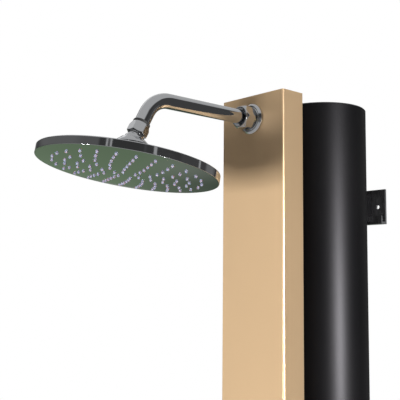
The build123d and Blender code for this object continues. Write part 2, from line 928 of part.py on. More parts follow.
def mixer_body():
    """Brass valve body: cartridge barrel, cross bar, two inlet legs and an outlet."""
    inside = front_y + column_wall + slip_gap
    nose_y = front_y - mixer_nose_reach
    socket_diameter = pipe_diameter + 2 * slip_gap
    barrel = tube_along((0, inside + mixer_body_depth, mixer_z), (0, inside, mixer_z), mixer_body_diameter)
    nose = tube_along((0, inside, mixer_z), (0, nose_y, mixer_z), mixer_nose_diameter)
    bar = tube_along((cold_x, middle_y, port_z), (hot_x, middle_y, port_z), mixer_bar_diameter)
    outlet = tube_along((0, middle_y, mixer_z), (0, middle_y, outlet_top_z), fitting_diameter)
    seat_floor = (0, nose_y + cartridge_length, mixer_z)
    seat = blind_hole((0, nose_y, mixer_z), seat_floor, cartridge_diameter + 2 * slip_gap)
    legs = []
    sockets = []
    for x in (cold_x, hot_x):
        foot = (x, middle_y, leg_foot_z)
        legs.append(tube_along((x, middle_y, port_z), foot, fitting_diameter))
        sockets.append(blind_hole(foot, (x, middle_y, leg_foot_z + pipe_insertion), socket_diameter))
    outlet_floor = (0, middle_y, outlet_top_z - pipe_insertion)
    sockets.append(blind_hole((0, middle_y, outlet_top_z), outlet_floor, socket_diameter))
    return barrel + nose + bar + legs + outlet - seat - sockets


def cartridge():
    end = front_y - mixer_nose_reach
    start = end + cartridge_length - slip_gap
    body = tube_along((0, start, mixer_z), (0, end, mixer_z), cartridge_diameter)
    floor_reach = mixer_nose_reach - carrier_thickness
    well = mixer_frame(floor_reach) * Cylinder(
        carrier_diameter / 2 + slip_gap / 2, carrier_thickness + cut_margin, align=STAND
    )
    stem_well = mixer_frame(floor_reach - pivot_ball_diameter / 2) * Cylinder(
        pivot_ball_diameter / 2 + slip_gap, pivot_ball_diameter, align=STAND
    )
    return body - well - stem_well


def cartridge_lock_ring():
    outer = lock_ring_diameter / 2
    nose = mixer_nose_diameter / 2 + slip_gap / 2
    hole = carrier_diameter / 2 + slip_gap
    ring = turned(
        (nose, -lock_ring_grip),
        (outer, -lock_ring_grip),
        (outer, lock_ring_front - lock_ring_chamfer),
        (outer - lock_ring_chamfer, lock_ring_front),
        (hole, lock_ring_front),
        (hole, slip_gap / 2),
        (nose, slip_gap / 2),
    )
    return mixer_frame(mixer_nose_reach) * ring


def mixer_escutcheon():
    radius = escutcheon_diameter / 2
    bore = lock_ring_diameter / 2 + slip_gap
    blank = turned(
        (bore, 0),
        (radius, 0),
        (radius, escutcheon_thickness - escutcheon_round),
        (radius - escutcheon_bevel, escutcheon_thickness - escutcheon_bevel),
        (radius - escutcheon_round, escutcheon_thickness),
        (bore, escutcheon_thickness),
    )
    return mixer_frame(0) * blank


def pivot_reach():
    """How far the lever's pivot stands out from the column's front."""
    return mixer_nose_reach - carrier_thickness + slip_gap


def pivot_frame():
    """Outwards along Z and upwards along Y, from the lever's pivot."""
    return mixer_frame(pivot_reach())


def cartridge_carrier():
    """Turning disc of the cartridge, slotted for the spindle's swing."""
    disc = Cylinder(carrier_diameter / 2, carrier_thickness - slip_gap, align=STAND)
    slot = Box(spindle_diameter + 2 * slip_gap, carrier_slot_length, carrier_thickness * 2)
    socket = Sphere(pivot_ball_diameter / 2 + ball_gap)
    return pivot_frame() * (disc - slot - socket)


def mixer_spindle():
    stem = Cylinder(spindle_diameter / 2, spindle_length, align=STAND)
    ball = Sphere(pivot_ball_diameter / 2)
    return pivot_frame() * (stem + ball)


def mixer_shroud():
    """Ball-shaped cover over the lock ring, open towards the spindle's swing."""
    low = escutcheon_thickness + slip_gap / 3 - pivot_reach()
    inner = shroud_radius - shroud_wall
    low_angle = degrees(acos(low / inner))
    dome = shell_zone(inner, shroud_radius, 0, low_angle)
    opening = Cylinder(shroud_opening_diameter / 2, shroud_radius + cut_margin, align=STAND)
    return pivot_frame() * (dome - Rot(-shroud_opening_tilt, 0, 0) * opening)


def lever_handle():
    """Dome that rides over the shroud, with a flat lever that hangs down from it."""
    inner = shroud_radius + slip_gap
    outer = inner + handle_wall
    middle = inner + handle_wall / 2
    dome = shell_zone(inner, outer, 0, handle_cover_angle)
    boss_low = spindle_length - spindle_socket_depth
    boss = tube_along((0, 0, boss_low), (0, 0, middle), handle_boss_diameter)
    socket = blind_hole((0, 0, boss_low), (0, 0, spindle_length), spindle_diameter)
    root_height = outer - lever_root_drop
    root = Plane(origin=(0, 0, root_height), x_dir=(1, 0, 0), z_dir=(0, -1, 0))
    tip = Plane(origin=(0, -lever_length, root_height + lever_rise), x_dir=(1, 0, 0), z_dir=(0, -1, 0))
    lever = loft(
        [
            root * RectangleRounded(lever_width, lever_thickness, lever_round),
            tip * RectangleRounded(lever_tip_width, lever_tip_thickness, lever_tip_round),
        ]
    )
    lever -= Sphere(middle)
    return pivot_frame() * (dome + boss + lever - socket)


# Pipes
def column_fitting(x, low):
    """Upright fitting in the column's foot, with a branch towards the tank."""
    high = link_z + fitting_reach
    branch_end = (x, back_y - column_wall - branch_gap, link_z)
    run = tube_along((x, middle_y, low), (x, middle_y, high), run_diameter)
    return run + tube_along((x, middle_y, link_z), branch_end, fitting_diameter)


def supply_tee():
    """Cold tee: inlet below, tank link behind, mixer above."""
    low = link_z - fitting_reach
    high = link_z + fitting_reach
    body = column_fitting(cold_x, low)
    socket = pipe_diameter + 2 * slip_gap
    bore = through_hole((cold_x, middle_y, low), (cold_x, middle_y, high), socket)
    side = tube_along((cold_x, middle_y, link_z), (cold_x, back_y, link_z), socket)
    return body - bore - side


def hot_elbow():
    high = link_z + fitting_reach
    body = column_fitting(hot_x, link_z - run_diameter / 2)
    socket = pipe_diameter + 2 * slip_gap
    bore = blind_hole((hot_x, middle_y, high), (hot_x, middle_y, link_z), socket)
    side = tube_along((hot_x, middle_y, link_z), (hot_x, back_y, link_z), socket)
    return body - bore - side


def tank_elbow(x):
    """Elbow under the tank that turns a link pipe up onto a tank union."""
    high = (x, tank_y, tank_bottom_z - union_nut_height - slip_gap)
    corner = (x, tank_y, link_z)
    mouth = (x, tank_y - fitting_reach, link_z)
    run = tube_along((x, tank_y, link_z - run_diameter / 2), high, run_diameter)
    branch = tube_along(corner, mouth, fitting_diameter)
    bore = blind_hole(high, corner, standpipe_diameter + 2 * slip_gap)
    side = blind_hole(mouth, corner, pipe_diameter + 2 * slip_gap)
    return run + branch - bore - side


def tank_elbows():
    return Compound(children=[tank_elbow(x) for x in (cold_x, hot_x)])


def water_pipe(start, end):
    return tube_along(start, end, pipe_diameter, pipe_diameter - 2 * pipe_wall)


def link_pipe(x):
    """From the fitting in the column, out through the back, to the tank's elbow."""
    start = (x, middle_y + fitting_reach / 2, link_z)
    return water_pipe(start, (x, tank_y - pipe_insertion, link_z))


def rising_pipe(x):
    """From the foot of the column up to one of the mixer's inlet legs."""
    start = (x, middle_y, link_z + fitting_reach - pipe_insertion)
    return water_pipe(start, (x, middle_y, leg_foot_z + pipe_insertion - slip_gap))


def riser_pipe():
    start = (0, middle_y, outlet_top_z - pipe_insertion + slip_gap)
    return water_pipe(start, (0, middle_y, arm_z - elbow_diameter + pipe_insertion - slip_gap))


def riser_clips():
    """Spring clips that hold the riser to the column's back wall."""
    inner = pipe_diameter + slip_gap
    outer = inner + 2 * clip_wall
    foot_depth = back_y - column_wall - middle_y
    foot = Box(clip_foot_width, foot_depth, clip_height, align=(Align.CENTER, Align.MIN, Align.MIN))
    mouth = Box(clip_mouth_width, outer, clip_height, align=(Align.CENTER, Align.MAX, Align.MIN))
    ring = Cylinder(outer / 2, clip_height, align=STAND)
    hole = Cylinder(inner / 2, clip_height, align=STAND)
    clip = ring + foot - hole - mouth
    heights = [top_z - clip_first_drop - clip_spacing * index for index in range(clip_count)]
    return Compound(children=[place(clip, middle_y, z) for z in heights])


def supply_inlet():
    """Nipple through the column's foot: a threaded tail, a body for its nut, a stub for the tee."""
    tail_z = bottom_z - inlet_nut_thickness
    low_z = tail_z - inlet_thread_length
    top_z_here = link_z - fitting_reach
    stub_z = top_z_here + pipe_insertion
    tail = tube_along((cold_x, middle_y, low_z), (cold_x, middle_y, tail_z), inlet_diameter)
    body = tube_along((cold_x, middle_y, tail_z), (cold_x, middle_y, top_z_here), inlet_body_diameter)
    stub = tube_along((cold_x, middle_y, top_z_here), (cold_x, middle_y, stub_z), pipe_diameter)
    bore = through_hole((cold_x, middle_y, low_z), (cold_x, middle_y, stub_z), inlet_bore)
    return tail + body + stub - bore


def inlet_nut():
    end = (cold_x, middle_y, bottom_z - inlet_nut_thickness)
    start = (cold_x, middle_y, bottom_z)
    nut = hexagon_along(end, start, inlet_nut_across_flats)
    return nut - tube_along(end, start, inlet_body_diameter + slip_gap)


nodes = {
    "column_shell": column_shell(),
    "column_top_cap": column_top_cap(),
    "column_bottom_cap": column_bottom_cap(),
    "tank_tube": tank_tube(),
    "tank_top_cap": tank_top_cap(),
    "tank_bottom_cap": tank_bottom_cap(),
    "tank_cap_seals": tank_cap_seals(),
    "tank_standpipe": tank_standpipe(),
    "tank_cold_nipple": tank_cold_nipple(),
    "tank_union_nuts": tank_union_nuts(),
    "tank_elbows": tank_elbows(),
    "drain_plug": drain_plug(),
    "upper_wall_plate": wall_plate(plate_heights[0]),
    "lower_wall_plate": wall_plate(plate_heights[1]),
    "upper_saddle": wall_saddle(plate_heights[0]),
    "lower_saddle": wall_saddle(plate_heights[1]),
    "lock_screws": lock_screws(),
    "upper_spacer": spacer(spacer_heights[0]),
    "lower_spacer": spacer(spacer_heights[1]),
    "spacer_screws": spacer_screws(),
    "arm_tube": arm_tube(),
    "arm_gasket": arm_gasket(),
    "wall_flange": wall_flange(),
    "arm_socket": arm_socket(),
    "arm_ferrule": arm_ferrule(),
    "arm_nut": arm_nut(),
    "nut_seal_ring": nut_seal_ring(),
    "swivel_nut": swivel_nut(),
    "ball_stem": ball_stem(),
    "inlet_strainer": inlet_strainer(),
    "ball_liner": ball_liner(),
    "ball_cup": ball_cup(),
    "swivel_collar": swivel_collar(),
    "head_shell": head_shell(),
    "face_plate": face_plate(),
    "nozzle_mat": nozzle_mat(),
    "mat_clamp_ring": mat_clamp_ring(),
    "mixer_body": mixer_body(),
    "cartridge": cartridge(),
    "cartridge_lock_ring": cartridge_lock_ring(),
    "mixer_escutcheon": mixer_escutcheon(),
    "cartridge_carrier": cartridge_carrier(),
    "mixer_spindle": mixer_spindle(),
    "mixer_shroud": mixer_shroud(),
    "lever_handle": lever_handle(),
    "supply_tee": supply_tee(),
    "hot_elbow": hot_elbow(),
    "cold_link_pipe": link_pipe(cold_x),
    "hot_link_pipe": link_pipe(hot_x),
    "cold_pipe": rising_pipe(cold_x),
    "hot_pipe": rising_pipe(hot_x),
    "riser_pipe": riser_pipe(),
    "riser_clips": riser_clips(),
    "supply_inlet": supply_inlet(),
    "inlet_nut": inlet_nut(),
}

os.makedirs("parts", exist_ok=True)
for name, shape in nodes.items():
    export_step(shape, "parts/" + name + ".step")
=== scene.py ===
"""Looks of the wall-hung solar shower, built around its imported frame, in metres."""

import json
import math

import bmesh
import bpy
from mathutils import Matrix, Vector


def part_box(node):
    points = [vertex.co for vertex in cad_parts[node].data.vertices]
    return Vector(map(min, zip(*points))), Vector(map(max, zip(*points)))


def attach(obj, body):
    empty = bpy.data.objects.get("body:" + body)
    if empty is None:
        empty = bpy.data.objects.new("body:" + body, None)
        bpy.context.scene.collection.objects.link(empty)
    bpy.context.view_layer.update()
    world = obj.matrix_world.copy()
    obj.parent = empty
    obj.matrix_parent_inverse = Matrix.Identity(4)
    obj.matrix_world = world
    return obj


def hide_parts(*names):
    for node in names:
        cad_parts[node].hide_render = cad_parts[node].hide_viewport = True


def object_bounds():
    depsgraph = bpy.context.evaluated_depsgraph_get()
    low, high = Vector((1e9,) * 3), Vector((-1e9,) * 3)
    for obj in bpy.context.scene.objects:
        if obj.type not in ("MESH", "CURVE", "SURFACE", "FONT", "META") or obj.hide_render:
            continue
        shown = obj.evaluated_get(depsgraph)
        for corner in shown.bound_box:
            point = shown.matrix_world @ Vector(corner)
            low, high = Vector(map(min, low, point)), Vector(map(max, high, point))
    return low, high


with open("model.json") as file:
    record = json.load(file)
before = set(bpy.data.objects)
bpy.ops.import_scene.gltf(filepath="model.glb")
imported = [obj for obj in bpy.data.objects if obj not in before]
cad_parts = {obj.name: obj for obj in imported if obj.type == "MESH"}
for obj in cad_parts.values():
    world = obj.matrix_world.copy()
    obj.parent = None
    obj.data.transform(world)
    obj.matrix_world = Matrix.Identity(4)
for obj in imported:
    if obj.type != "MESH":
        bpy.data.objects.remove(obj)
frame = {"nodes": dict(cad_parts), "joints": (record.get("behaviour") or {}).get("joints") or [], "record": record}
cad_low, cad_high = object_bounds()

# The photograph's camera, solved from the object's own outlines
IMAGE_SIZE = 400
FOCAL_PIXELS = 755.76
CAMERA_PLACE = Vector((0.815789, -1.093164, -0.13195))
CAMERA_TURN = 0.84492
CAMERA_RISE = 0.108823
CAMERA_ROLL = 0.008987
SENSOR = 36.0


# Materials

class Shader:
    """A material with one Principled shader, and short calls that add nodes to it."""

    def __init__(self, name):
        self.material = bpy.data.materials.new(name)
        self.material.use_nodes = True
        self.tree = self.material.node_tree
        self.surface = next(n for n in self.tree.nodes if n.type == "BSDF_PRINCIPLED")
        self.place = self.add("ShaderNodeTexCoord").outputs["Object"]

    def add(self, kind, **settings):
        node = self.tree.nodes.new(kind)
        for key, value in settings.items():
            setattr(node, key, value)
        return node

    def join(self, source, target):
        self.tree.links.new(source, target)

    def fix(self, **values):
        """Numbers and colours that are the same all over the surface."""
        for key, value in values.items():
            self.surface.inputs[key.replace("_", " ")].default_value = value

    def noise(self, scale, detail=3.0, stretch=None):
        node = self.add("ShaderNodeTexNoise")
        node.inputs["Scale"].default_value = scale
        node.inputs["Detail"].default_value = detail
        source = self.place
        if stretch:
            mapping = self.add("ShaderNodeMapping")
            mapping.inputs["Scale"].default_value = stretch
            self.join(source, mapping.inputs["Vector"])
            source = mapping.outputs["Vector"]
        self.join(source, node.inputs["Vector"])
        return node.outputs["Fac"]

    def spread(self, source, low, high, start=0.3, end=0.7):
        """A number that goes from low to high as source goes from start to end."""
        node = self.add("ShaderNodeMapRange")
        node.inputs["From Min"].default_value = start
        node.inputs["From Max"].default_value = end
        node.inputs["To Min"].default_value = low
        node.inputs["To Max"].default_value = high
        self.join(source, node.inputs["Value"])
        return node.outputs["Result"]

    def blend(self, factor, first, second):
        """A colour between two, where each is a colour or a node's output."""
        node = self.add("ShaderNodeMix", data_type="RGBA")
        colours = [s for s in node.inputs if s.type == "RGBA"]
        for socket, value in zip(colours, (first, second)):
            if isinstance(value, bpy.types.NodeSocket):
                self.join(value, socket)
            else:
                socket.default_value = (*value, 1)
        self.join(factor, node.inputs[0])
        return next(s for s in node.outputs if s.type == "RGBA")

    def colour(self, source):
        self.join(source, self.surface.inputs["Base Color"])

    def roughness(self, source):
        self.join(source, self.surface.inputs["Roughness"])

    def bump(self, source, depth, strength=1.0):
        node = self.add("ShaderNodeBump")
        node.inputs["Distance"].default_value = depth
        node.inputs["Strength"].default_value = strength
        previous = self.surface.inputs["Normal"]
        if previous.is_linked:
            self.join(previous.links[0].from_socket, node.inputs["Normal"])
        self.join(source, node.inputs["Height"])
        self.join(node.outputs["Normal"], previous)


def champagne_coat():
    """Satin metallic lacquer with fine flakes, a little cloudy from top to bottom."""
    s = Shader("champagne_coat")
    s.fix(Metallic=0.65)
    flakes = s.spread(s.noise(5200, 1.0), 0.0, 1.0)
    clouds = s.spread(s.noise(9, 4.0, (1, 1, 0.35)), 0.0, 1.0)
    grain = s.blend(flakes, (0.70, 0.485, 0.280), (0.76, 0.535, 0.320))
    s.colour(s.blend(clouds, grain, (0.745, 0.520, 0.305)))
    s.roughness(s.spread(clouds, 0.30, 0.34, 0.0, 1.0))
    s.bump(flakes, 0.00001)
    return s.material


def tank_plastic():
    """Black plastic with a fine leathery grain and traces of dust."""
    s = Shader("tank_plastic")
    grain = s.noise(900, 2.0)
    dust = s.spread(s.noise(6, 5.0), 0.0, 1.0, 0.35, 0.75)
    s.colour(s.blend(dust, (0.0022, 0.0022, 0.0026), (0.005, 0.0048, 0.0052)))
    s.roughness(s.spread(grain, 0.36, 0.46))
    s.fix(Specular_IOR_Level=0.18, Specular_Tint=(0.97, 0.94, 1.0, 1))
    s.bump(grain, 0.00006)
    return s.material


def chrome_plate(name="chrome_plate", tint=(0.56, 0.57, 0.585), dull=0.035):
    """Polished chrome with faint wipe marks and specks of dried water."""
    s = Shader(name)
    s.fix(Metallic=1.0)
    smears = s.spread(s.noise(45, 4.0, (1, 1, 3)), 0.0, 1.0)
    specks = s.spread(s.noise(1400, 1.0), 0.0, 1.0, 0.60, 0.78)
    worn = tuple(c * 0.93 for c in tint)
    s.colour(s.blend(specks, tint, worn))
    s.roughness(s.spread(smears, dull, dull + 0.045, 0.0, 1.0))
    s.bump(smears, 0.000004)
    return s.material


def nozzle_silicone():
    """Soft lilac-grey silicone, a little see-through at the tips."""
    s = Shader("nozzle_silicone")
    s.fix(Subsurface_Weight=0.25, Subsurface_Scale=0.002)
    bloom = s.spread(s.noise(700, 3.0), 0.0, 1.0)
    s.colour(s.blend(bloom, (0.115, 0.110, 0.155), (0.145, 0.140, 0.190)))
    s.roughness(s.spread(bloom, 0.24, 0.36, 0.0, 1.0))
    s.bump(bloom, 0.00002)
    return s.material


def black_rubber():
    s = Shader("black_rubber")
    grain = s.noise(2200, 3.0)
    s.colour(s.blend(s.spread(grain, 0.0, 1.0), (0.008, 0.008, 0.008), (0.022, 0.021, 0.020)))
    s.roughness(s.spread(grain, 0.55, 0.72))
    s.bump(grain, 0.00004)
    return s.material


def moulded_plastic(name, dark, light, low=0.38, high=0.52):
    """Moulded plastic with a light spark-eroded grain."""
    s = Shader(name)
    grain = s.noise(1600, 2.0)
    clouds = s.spread(s.noise(30, 3.0), 0.0, 1.0)
    s.colour(s.blend(clouds, dark, light))
    s.roughness(s.spread(grain, low, high))
    s.bump(grain, 0.00003)
    return s.material


def rolled_steel(name, dark, light):
    """Steel sheet or tube with fine lines along its length."""
    s = Shader(name)
    s.fix(Metallic=1.0)
    lines = s.noise(260, 4.0, (8, 8, 0.25))
    s.colour(s.blend(s.spread(lines, 0.0, 1.0), dark, light))
    s.roughness(s.spread(lines, 0.22, 0.40))
    s.bump(lines, 0.00001)
    return s.material


def cast_brass():
    s = Shader("cast_brass")
    s.fix(Metallic=1.0)
    tarnish = s.spread(s.noise(60, 6.0), 0.0, 1.0, 0.4, 0.75)
    skin = s.noise(900, 3.0)
    s.colour(s.blend(tarnish, (0.62, 0.44, 0.18), (0.40, 0.26, 0.10)))
    s.roughness(s.spread(skin, 0.26, 0.44))
    s.bump(skin, 0.00003)
    return s.material


FINISHES = {
    "column_finish": champagne_coat(),
    "tank_black": tank_plastic(),
    "chrome": chrome_plate(),
    # The face plate's darker, slightly green chrome tint is a painted reflection of dark green surroundings. The
    # sky's green panel also gives a real green reflection.
    "face_mirror": chrome_plate("face_mirror", (0.50, 0.525, 0.50), 0.03),
    "nozzle_silicone": nozzle_silicone(),
    "rubber": black_rubber(),
    "seat_plastic": moulded_plastic("seat_plastic", (0.62, 0.61, 0.58), (0.72, 0.71, 0.68)),
    "inner_plastic": moulded_plastic("inner_plastic", (0.010, 0.010, 0.011), (0.018, 0.018, 0.019)),
    "bracket_steel": rolled_steel("bracket_steel", (0.42, 0.42, 0.43), (0.58, 0.58, 0.59)),
    "brass": cast_brass(),
    "pipe_steel": rolled_steel("pipe_steel", (0.45, 0.45, 0.46), (0.62, 0.62, 0.62)),
}


def dress(piece, slot):
    """Gives a piece the finish of one of the record's material slots."""
    piece.data.materials.clear()
    piece.data.materials.append(FINISHES[slot])


for part in frame["record"]["subparts"]:
    dress(frame["nodes"][part["node"]], part["material_slot"])


# Pieces with the roundings and bevels that polished metal shows

MM = 0.001
ROUND_STEPS = 4
SHARP_ANGLE = math.radians(35)
HEXAGON = math.radians(60)


def rounded(corners):
    """A closed outline with its corners, each (across, along, rounding), rounded off."""
    outline = []
    earlier = corners[-1:] + corners[:-1]
    later = corners[1:] + corners[:1]
    for before, corner, after in zip(earlier, corners, later):
        here = Vector(corner[:2])
        ways = [Vector(other[:2]) - here for other in (before, after)]
        size = min([corner[2]] + [way.length * 0.45 for way in ways])
        if size == 0:
            outline.append(here)
            continue
        start, end = (here + way.normalized() * size for way in ways)
        for step in range(ROUND_STEPS + 1):
            t = step / ROUND_STEPS
            outline.append(start * (1 - t) ** 2 + here * (2 * t * (1 - t)) + end * t**2)
    return outline


def finer(outline, longest=0.5):
    """The same outline with its long stretches divided."""
    points = []
    for here, after in zip(outline, outline[1:] + outline[:1]):
        parts = max(1, math.ceil((after - here).length / longest))
        points += [here.lerp(after, part / parts) for part in range(parts)]
    return points


def arc(radius, start, end, centre=0.0, steps=24):
    """Points of a sphere's outline, by degrees from its top."""
    points = []
    for step in range(steps + 1):
        angle = math.radians(start + (end - start) * step / steps)
        points.append((radius * math.sin(angle), centre + radius * math.cos(angle), 0))
    return points


def stand(origin, axis):
    """The place of a turned piece: its origin, its axis, and one side towards +X."""
    axis = Vector(axis).normalized()
    side = (Vector((1, 0, 0)) - axis * axis.x).normalized()
    turn = Matrix((side, axis.cross(side), axis)).transposed().to_4x4()
    return Matrix.Translation(origin) @ turn


def turned(outline, place, count=128, flats=None):
    """Rings of points for an outline in mm, cut back to a hexagon where flats are given."""
    rings = []
    for across, along in outline:
        ring = []
        for step in range(count):
            angle = math.tau * step / count
            radius = across
            if flats:
                radius = min(across, flats / 2 / math.cos(angle % HEXAGON - HEXAGON / 2))
            point = Vector((radius * math.cos(angle), radius * math.sin(angle), along)) * MM
            ring.append(place @ point)
        rings.append(ring)
    return rings


def shell_faces(rings, first):
    """Faces between neighbouring rings, and between the last ring and the first."""
    count = len(rings[0])
    faces = []
    for row in range(len(rings)):
        near = first + row * count
        far = first + (row + 1) % len(rings) * count
        for step in range(count):
            turn = (step + 1) % count
            faces.append((near + step, near + turn, far + turn, far + step))
    return faces


def make_piece(name, shells, body, slot, *replaced):
    """One piece from closed shells of rings, in place of the CAD nodes it stands for."""
    points = []
    faces = []
    for rings in shells:
        faces += shell_faces(rings, len(points))
        points += [point for ring in rings for point in ring]
    mesh = bpy.data.meshes.new(name)
    mesh.from_pydata(points, [], faces)
    work = bmesh.new()
    work.from_mesh(mesh)
    bmesh.ops.recalc_face_normals(work, faces=work.faces)
    work.to_mesh(mesh)
    work.free()
    mesh.shade_smooth()
    mesh.set_sharp_from_angle(angle=SHARP_ANGLE)
    piece = bpy.data.objects.new(name, mesh)
    bpy.context.scene.collection.objects.link(piece)
    level = piece.modifiers.new("level_flats", "WEIGHTED_NORMAL")
    level.keep_sharp = True
    level.weight = 100
    dress(piece, slot)
    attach(piece, body)
    if replaced:
        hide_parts(*replaced)
    return piece


JOINTS = {joint["name"]: joint for joint in frame["joints"]}
BALL = Vector(JOINTS["head_spin"]["pos_m"])
HEAD_LEAN = 8.84
HEAD_ROLL = 2.37
HEAD_TURN = (
    Matrix.Rotation(math.radians(-HEAD_LEAN), 4, "X") @ Matrix.Rotation(math.radians(HEAD_ROLL), 4, "Y")
)
BALL_HEIGHT = 41.3
HEAD_BALL = Matrix.Translation(BALL) @ HEAD_TURN
HEAD = HEAD_BALL @ Matrix.Translation((0, 0, -BALL_HEIGHT * MM))

# Arm, in mm
ARM_RADIUS = 11.0
ARM_BORE = 9.5
BEND_RADIUS = 43.4
ARM_STRAIGHT = 168.4
BALL_REACH = 27.6
BALL_RADIUS = 13.75
SOCKET_RADIUS = 15.31
COLUMN_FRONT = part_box("column_shell")[0].y
ARM_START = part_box("arm_tube")[1].y
ARM_HEIGHT = (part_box("wall_flange")[0].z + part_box("wall_flange")[1].z) / 2


def arm_line():
    """The arm's straight run and bend, aimed so that its tail points at the ball."""
    bend_start = Vector((0, COLUMN_FRONT - ARM_STRAIGHT * MM, ARM_HEIGHT))
    centre = bend_start - Vector((0, 0, BEND_RADIUS * MM))
    way = BALL - centre
    tail = math.sqrt(way.length**2 - (BEND_RADIUS * MM) ** 2)
    turn = math.atan2(-way.y, way.z) - math.atan2(tail, BEND_RADIUS * MM)
    return bend_start, centre, turn, tail


def tail_frame():
    """The swivel nut's top, looking down the arm's tail."""
    centre, turn = arm_line()[1:3]
    down = Vector((0, -math.cos(turn), -math.sin(turn)))
    return stand(BALL - down * BALL_REACH * MM, down)


def make_arm():
    bend_start, centre, turn, tail = arm_line()
    steps = 48
    line = [(Vector((0, ARM_START, ARM_HEIGHT)), 0.0)]
    for step in range(steps + 1):
        angle = turn * step / steps
        away = Vector((0, -math.sin(angle), math.cos(angle)))
        line.append((centre + away * BEND_RADIUS * MM, angle))
    last, angle = line[-1]
    down = Vector((0, -math.cos(angle), -math.sin(angle)))
    line.append((last + down * (tail - (BALL_REACH - 10.0) * MM), angle))
    rings = []
    for radius, places in ((ARM_RADIUS, line), (ARM_BORE, line[::-1])):
        for place, angle in places:
            down = Vector((0, -math.cos(angle), -math.sin(angle)))
            rings += turned([(radius, 0.0)], stand(place, down), 96)
    make_piece("arm_pipe", [rings], "column", "chrome", "arm_tube")


def make_swivel():
    place = tail_frame()
    nut = rounded([
        (11.05, 0, 0), (12.2, 0, 0.3), (13.4, 2.6, 0.6), (14.55, 5.2, 0.5), (14.55, 14.6, 0.3),
        (12.3, 15.6, 0.1), (10.8, 15.6, 0.1), (10.8, 16.2, 0.1), (11.4, 16.4, 0.2),
        (11.4, 17.2, 0.4), (10.4, 18.4, 0.4), (10.4, 20.6, 0.4), (6.4, 20.6, 0), (6.4, 11.0, 0),
        (11.05, 11.0, 0),
    ])
    nut_rings = turned(finer(nut), place, 144, 25.4)
    make_piece("union_nut", [nut_rings], "column", "chrome", "swivel_nut")
    seal = rounded([(11.04, -3.8, 0), (12.4, -3.8, 0.5), (12.4, -0.02, 0.3), (11.04, -0.02, 0)])
    make_piece("union_seal", [turned(seal, place, 96)], "column", "rubber", "nut_seal_ring")
    flat = BALL_REACH - 20.9
    widest = math.degrees(math.acos(flat / BALL_RADIUS))
    lowest = 180 - math.degrees(math.asin(4.0 / BALL_RADIUS))
    ball = [(4.0, BALL_REACH - 16.0, 0), (6.3, BALL_REACH - 16.0, 0), (6.3, flat, 0)]
    ball = [(across, along, 0) for across, along, _ in ball] + arc(BALL_RADIUS, widest, lowest, steps=48)
    down = place @ Matrix.Translation((0, 0, BALL_REACH * MM)) @ Matrix.Rotation(math.pi, 4, "X")
    make_piece("joint_ball", [turned(rounded(ball), down)], "column", "chrome", "ball_stem")


def ring_zone(inner, outer, top, low):
    return rounded(arc(outer, top, low) + arc(inner, low, top))


def make_seats():
    liner = turned(ring_zone(13.83, 15.23, 75, 88), HEAD_BALL, 96)
    make_piece("joint_liner", [liner], "upper_seat", "seat_plastic", "ball_liner")
    cup = turned(ring_zone(13.83, 15.23, 104, 150), HEAD_BALL, 96)
    make_piece("joint_cup", [cup], "lower_seat", "seat_plastic", "ball_cup")


def make_collar():
    pocket = arc(SOCKET_RADIUS, 75, 90)
    outline = rounded([
        (21.5, -8.5, 0.3), (24.0, -7.5, 0.3), (24.0, -3.4, 0.8), (22.0, -0.9, 1.5), (16.2, 4.0, 0.5),
        *pocket, (17.1, 0, 0), (17.1, -8.5, 0),
    ])
    make_piece("ball_collar", [turned(outline, HEAD_BALL)], "head", "chrome", "swivel_collar")


def make_head():
    pocket = arc(SOCKET_RADIUS, 91.2, 155.3, BALL_HEIGHT)
    outline = rounded([
        (123.5, 0.0, 0.2), (125.0, 0.0, 0.7), (125.0, 11.3, 1.3), (24.0, 19.3, 6.0), (17.0, 22.3, 3.0),
        (17.0, 41.0, 0.3), *pocket, (6.4, 13.5, 0), (17.0, 13.5, 1.0), (24.0, 17.8, 2.0), (123.5, 9.8, 0.5),
    ])
    make_piece("rain_head", [turned(outline, HEAD, 256)], "head", "chrome", "head_shell")


FACE_HALF = 123.5
FACE_SAG = 6.0
FACE_SPHERE = (FACE_HALF**2 + FACE_SAG**2) / (2 * FACE_SAG)


def face_height(across):
    return FACE_SPHERE - FACE_SAG - math.sqrt(FACE_SPHERE**2 - across**2)


def nozzle_places():
    for ring in range(6):
        count = 6 + 4 * ring
        radius = 16.95 * (ring + 1)
        for index in range(count):
            angle = math.radians(156.9 + (index + 0.5) * 360 / count)
            yield radius * math.cos(angle), radius * math.sin(angle)


def make_nozzles():
    low = [(across, face_height(across) + 1.1, 0) for across in range(2, 123, 6)]
    sheet = low + [(across, along + 1.6, 0) for across, along, _ in low[::-1]]
    shells = [turned(rounded(sheet), HEAD, 96)]
    nozzle = rounded([
        (0.45, -1.9, 0.15), (0.8, -2.2, 0.2), (1.55, -2.1, 0.5), (2.0, -0.6, 0.8), (2.35, 0.5, 0.3),
        (2.35, 1.6, 0), (0.45, 1.6, 0),
    ])
    for x, y in nozzle_places():
        place = HEAD @ Matrix.Translation(Vector((x, y, face_height(math.hypot(x, y)))) * MM)
        shells.append(turned(nozzle, place, 20))
    make_piece("spray_nozzles", shells, "head", "nozzle_silicone", "nozzle_mat")


